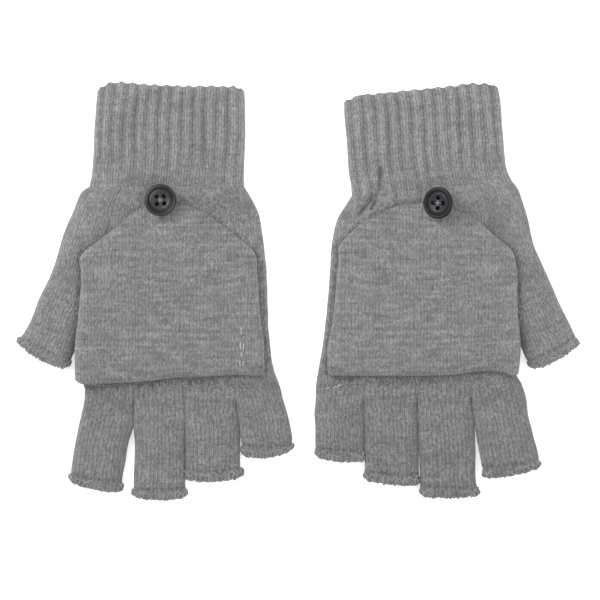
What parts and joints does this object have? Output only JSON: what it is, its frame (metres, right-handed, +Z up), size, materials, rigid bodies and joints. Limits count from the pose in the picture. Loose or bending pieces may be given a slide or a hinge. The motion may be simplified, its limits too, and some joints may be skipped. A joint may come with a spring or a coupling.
{
  "type": "convertible flip-top mittens",
  "caption": "Pair of fine-knit fingerless gloves with ribbed cuffs and a fold-over mitten flap, held back on each hand by a loop and a four-hole button.",
  "frame": {"origin": "middle of the pair's footprint, on the surface that the gloves lie on", "axes": "+X across the pair from the left glove to the right one, +Y from the fingertips towards the cuffs, +Z up from the palms to the backs of the hands"},
  "size_m": [0.2632, 0.1954, 0.0224],
  "materials": {
    "rib_knit": "2x2 rib knit in mid-grey heather acrylic yarn, matt and slightly fuzzy",
    "plain_knit": "fine plain knit in mid-grey heather acrylic yarn, matt and slightly fuzzy",
    "flap_knit": "fine plain knit in mid-grey heather acrylic yarn, matt, with light streaks along its courses",
    "overcast_yarn": "loops of grey overcast yarn over the cut edge",
    "seam_yarn": "tight linked stitches in grey yarn",
    "loop_cord": "thin twisted elastic cord covered in grey yarn",
    "button_plastic": "charcoal moulded plastic, semi-gloss, with a raised rim",
    "button_thread": "light-grey sewing thread, plied",
    "white_thread": "white sewing thread, plied"
  },
  "bodies": {
    "left_hand": {"left_hand": "plain_knit", "left_knuckle_seam": "seam_yarn"},
    "left_cuff": {"left_cuff": "rib_knit"},
    "left_thumb": {"left_thumb": "plain_knit", "left_thumb_edge": "overcast_yarn"},
    "left_index": {"left_index_finger": "plain_knit", "left_index_edge": "overcast_yarn"},
    "left_middle": {"left_middle_finger": "plain_knit", "left_middle_edge": "overcast_yarn"},
    "left_ring": {"left_ring_finger": "plain_knit", "left_ring_edge": "overcast_yarn"},
    "left_little": {"left_little_finger": "plain_knit", "left_little_edge": "overcast_yarn"},
    "left_flap": {"left_flap": "flap_knit", "left_flap_tip": "flap_knit", "left_button_loop": "loop_cord", "left_tacking_thread": "white_thread"},
    "left_button": {"left_button": "button_plastic", "left_button_thread": "button_thread"},
    "right_hand": {"right_hand": "plain_knit", "right_knuckle_seam": "seam_yarn", "right_tacking_thread": "white_thread"},
    "right_cuff": {"right_cuff": "rib_knit"},
    "right_thumb": {"right_thumb": "plain_knit", "right_thumb_edge": "overcast_yarn"},
    "right_index": {"right_index_finger": "plain_knit", "right_index_edge": "overcast_yarn"},
    "right_middle": {"right_middle_finger": "plain_knit", "right_middle_edge": "overcast_yarn"},
    "right_ring": {"right_ring_finger": "plain_knit", "right_ring_edge": "overcast_yarn"},
    "right_little": {"right_little_finger": "plain_knit", "right_little_edge": "overcast_yarn"},
    "right_flap": {"right_flap": "flap_knit", "right_flap_tip": "flap_knit", "right_button_loop": "loop_cord"},
    "right_button": {"right_button": "button_plastic", "right_button_thread": "button_thread"}
  },
  "joints": [
    {"name": "gloves_apart", "type": "slide", "parent": "left_hand", "child": "right_hand", "axis": [1, 0, 0], "range_m": [0, 0.08]},
    {"name": "left_wrist_bend", "type": "hinge", "parent": "left_hand", "child": "left_cuff", "pos_m": [-0.06147, 0.04936, 0], "axis": [-1, 0, 0], "range_deg": [0, 70]},
    {"name": "left_thumb_bend", "type": "hinge", "parent": "left_hand", "child": "left_thumb", "pos_m": [-0.11097, -0.00969, 0], "axis": [0.8961, -0.4439, 0], "range_deg": [0, 55]},
    {"name": "left_index_bend", "type": "hinge", "parent": "left_hand", "child": "left_index", "pos_m": [-0.08907, -0.04944, 0], "axis": [1, 0, 0], "range_deg": [0, 85]},
    {"name": "left_middle_bend", "type": "hinge", "parent": "left_hand", "child": "left_middle", "pos_m": [-0.06527, -0.04944, 0], "axis": [1, 0, 0], "range_deg": [0, 85]},
    {"name": "left_ring_bend", "type": "hinge", "parent": "left_hand", "child": "left_ring", "pos_m": [-0.04127, -0.04944, 0], "axis": [1, 0, 0], "range_deg": [0, 85]},
    {"name": "left_little_bend", "type": "hinge", "parent": "left_hand", "child": "left_little", "pos_m": [-0.01807, -0.04944, 0], "axis": [1, 0, 0], "range_deg": [0, 85]},
    {"name": "left_flap_fold", "type": "hinge", "parent": "left_hand", "child": "left_flap", "pos_m": [-0.05957, -0.04074, 0.0122], "axis": [0.9989, 0.0464, 0], "range_deg": [0, 180], "deforming": ["left_flap_tip", "left_button_loop"]},
    {"name": "left_button_tilt", "type": "hinge", "parent": "left_hand", "child": "left_button", "pos_m": [-0.06437, 0.04381, 0.0075], "axis": [0, 1, 0], "range_deg": [-8, 8], "stiffness_Nm_per_rad": 0.002},
    {"name": "right_wrist_bend", "type": "hinge", "parent": "right_hand", "child": "right_cuff", "pos_m": [0.06228, 0.04891, 0], "axis": [-0.9951, -0.0992, 0], "range_deg": [0, 70]},
    {"name": "right_thumb_bend", "type": "hinge", "parent": "right_hand", "child": "right_thumb", "pos_m": [0.11068, -0.00829, 0], "axis": [0.8953, 0.4456, 0], "range_deg": [0, 55]},
    {"name": "right_index_bend", "type": "hinge", "parent": "right_hand", "child": "right_index", "pos_m": [0.09408, -0.04804, 0], "axis": [1, 0, 0], "range_deg": [0, 85]},
    {"name": "right_middle_bend", "type": "hinge", "parent": "right_hand", "child": "right_middle", "pos_m": [0.06858, -0.04804, 0], "axis": [1, 0, 0], "range_deg": [0, 85]},
    {"name": "right_ring_bend", "type": "hinge", "parent": "right_hand", "child": "right_ring", "pos_m": [0.04368, -0.04804, 0], "axis": [1, 0, 0], "range_deg": [0, 85]},
    {"name": "right_little_bend", "type": "hinge", "parent": "right_hand", "child": "right_little", "pos_m": [0.01958, -0.04804, 0], "axis": [1, 0, 0], "range_deg": [0, 85]},
    {"name": "right_flap_fold", "type": "hinge", "parent": "right_hand", "child": "right_flap", "pos_m": [0.05888, -0.03909, 0.0122], "axis": [1, 0.0069, 0], "range_deg": [0, 180], "deforming": ["right_flap_tip", "right_button_loop"]},
    {"name": "right_button_tilt", "type": "hinge", "parent": "right_hand", "child": "right_button", "pos_m": [0.06847, 0.04241, 0.0075], "axis": [0, 1, 0], "range_deg": [0, 26], "stiffness_Nm_per_rad": 0.002}
  ]
}
